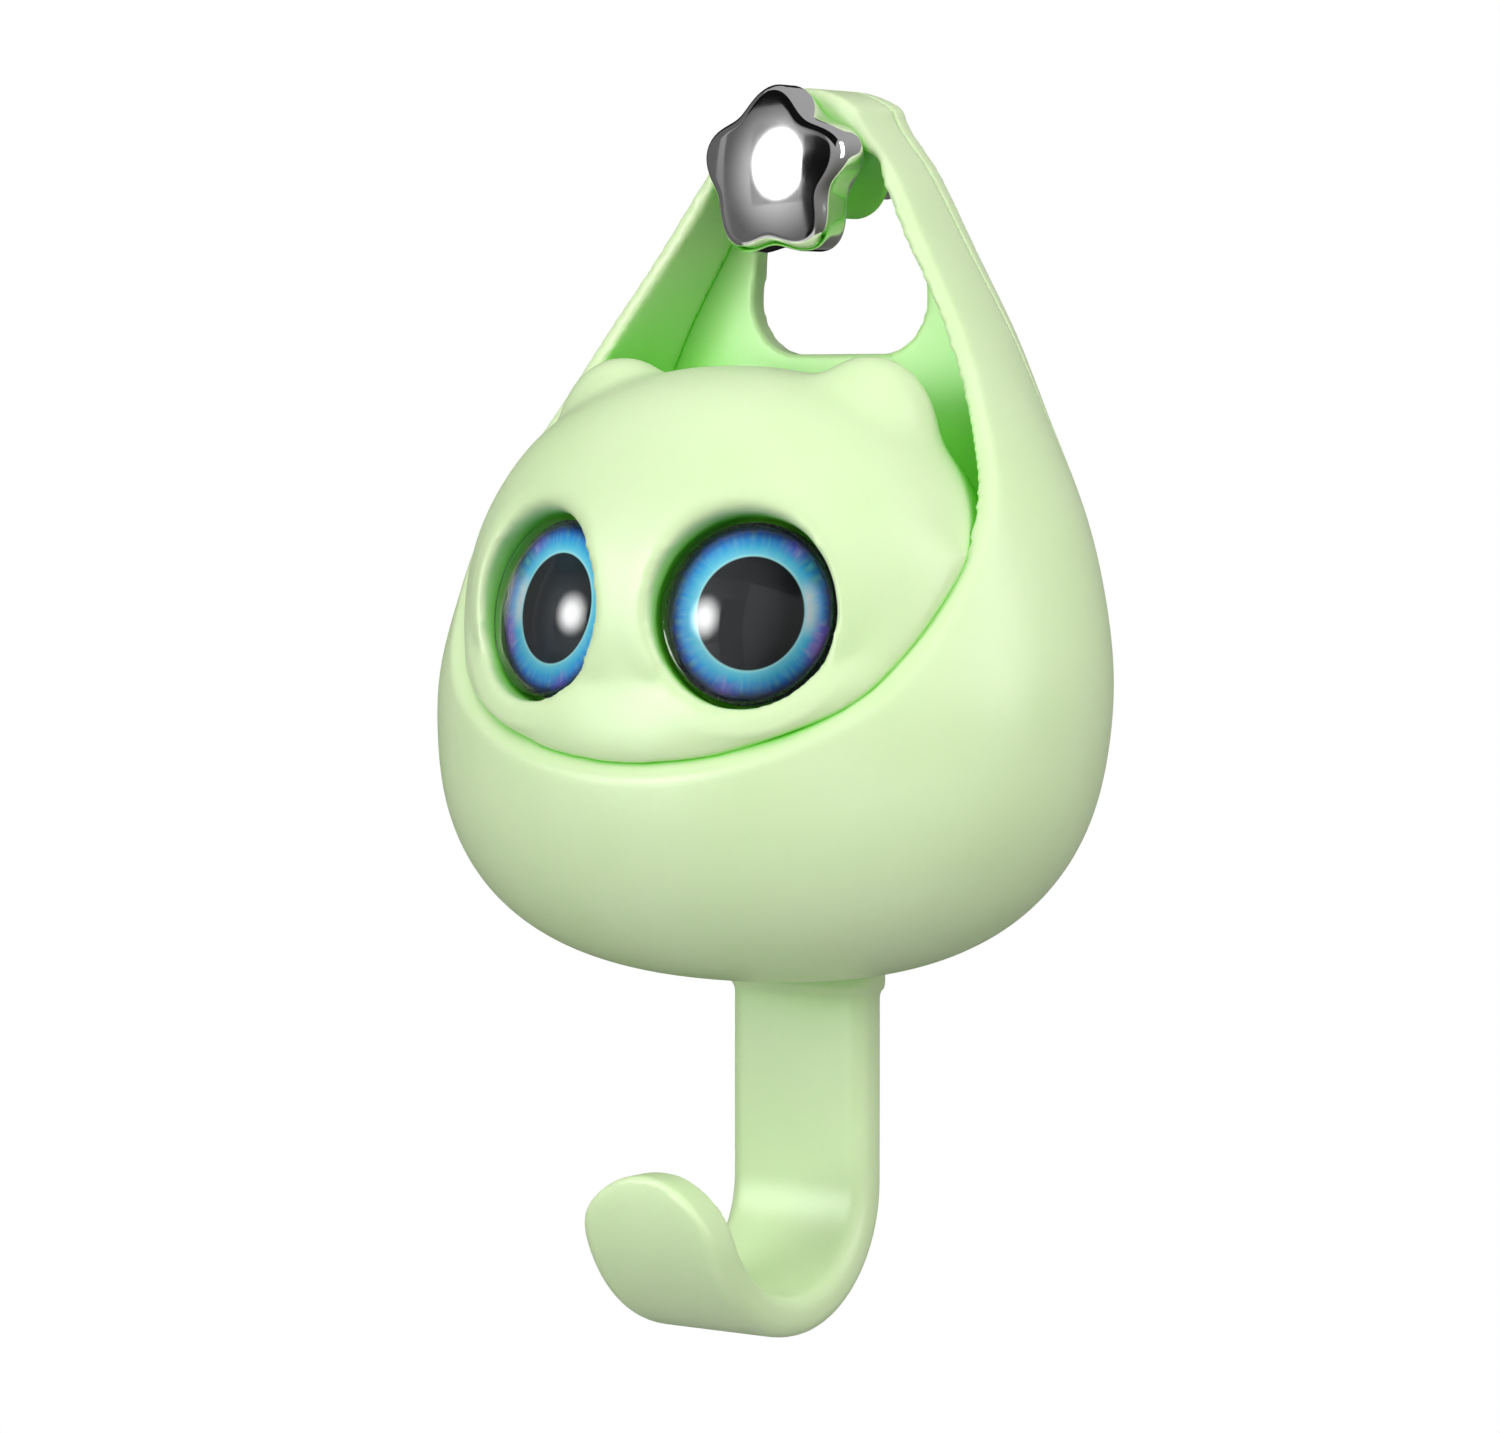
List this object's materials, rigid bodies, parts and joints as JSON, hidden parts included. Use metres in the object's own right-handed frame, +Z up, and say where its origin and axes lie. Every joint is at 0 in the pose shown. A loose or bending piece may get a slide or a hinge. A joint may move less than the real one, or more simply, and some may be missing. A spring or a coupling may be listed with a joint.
{
  "type": "cat key hook",
  "caption": "Wall key hook: a cat's head with turning doll eyes sits in a teardrop sling that hangs behind a flower-headed peg, and the cat's tail is the hook.",
  "frame": {"origin": "where the peg's axis meets the wall face", "axes": "+Y into the wall along the wall screw, -Y is the front, +Z up"},
  "size_m": [0.0678, 0.0495, 0.1122],
  "materials": {
    "mint_plastic": "satin moulded, slightly translucent",
    "deep_green_plastic": "satin moulded",
    "cap_chrome": "polished",
    "zinc_steel": "bright zinc",
    "washer_steel": "plain",
    "bumper_rubber": "clear grey, soft",
    "eye_clear": "clear polished acrylic",
    "eye_print": "printed iris",
    "eye_black": "moulded black"
  },
  "bodies": {
    "wall_mount": {"wall_peg": "deep_green_plastic", "wall_screw": "zinc_steel", "flower_cap": "cap_chrome"},
    "sling": {"sling_shell": "mint_plastic", "back_plate": "mint_plastic", "back_plate_screws": "zinc_steel", "head_mount_screws": "zinc_steel", "tail_screws": "zinc_steel", "wall_bumpers": "bumper_rubber", "tail_hook": "mint_plastic", "head_front": "mint_plastic", "head_back": "mint_plastic", "head_screws": "zinc_steel"},
    "eye_left": {"eye_lens_left": "eye_clear", "eye_iris_left": "eye_print", "eye_cup_left": "eye_black", "eye_lock_washer_left": "washer_steel"},
    "eye_right": {"eye_lens_right": "eye_clear", "eye_iris_right": "eye_print", "eye_cup_right": "eye_black", "eye_lock_washer_right": "washer_steel"}
  },
  "joints": [
    {"name": "sling_swing", "type": "hinge", "parent": "wall_mount", "child": "sling", "pos_m": [0, 0, 0], "axis": [0, 1, 0], "range_deg": [-30, 30]},
    {"name": "eye_left_spin", "type": "hinge", "parent": "sling", "child": "eye_left", "pos_m": [-0.0115, -0.0344, -0.0382], "axis": [-0.2549, -0.9513, 0.1736], "continuous": true},
    {"name": "eye_right_spin", "type": "hinge", "parent": "sling", "child": "eye_right", "pos_m": [0.0115, -0.0344, -0.0382], "axis": [0.2549, -0.9513, 0.1736], "continuous": true}
  ]
}
